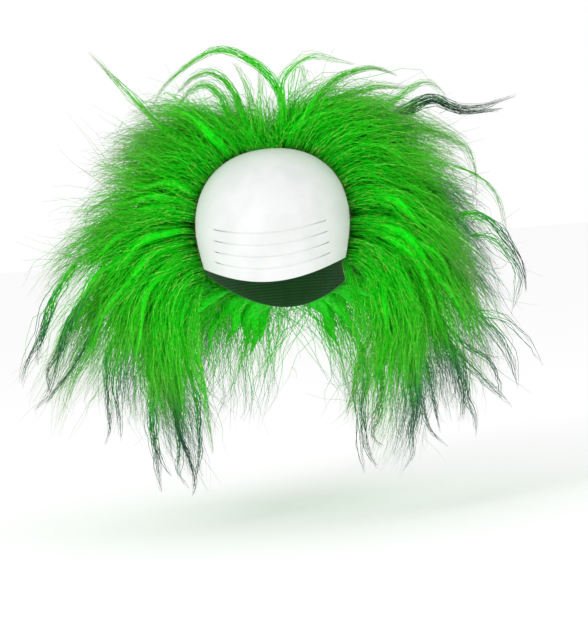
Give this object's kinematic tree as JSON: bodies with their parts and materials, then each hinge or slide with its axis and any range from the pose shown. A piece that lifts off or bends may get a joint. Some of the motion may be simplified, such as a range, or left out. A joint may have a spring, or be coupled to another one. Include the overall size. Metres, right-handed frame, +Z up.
{
  "type": "clown wig",
  "caption": "Clown wig: a smooth moulded latex bald front with forehead wrinkles, sewn to a knitted cap that carries wefts of long teased frizzy hair.",
  "frame": {"origin": "inside of the crown, where the top of the wearer's head touches the wig", "axes": "+Z up, -Y the way the wearer faces, +X towards the wearer's left"},
  "size_m": [0.4848, 0.367, 0.4018],
  "materials": {
    "latex": "satin",
    "knit": "matt",
    "hair": "frizzy"
  },
  "bodies": {
    "root": {"latex_front": "latex", "wig_cap": "knit", "hair_front_weft": "hair", "hair_second_weft": "hair", "hair_third_weft": "hair", "hair_crown_weft": "hair", "hair_nape_weft": "hair"}
  },
  "joints": []
}
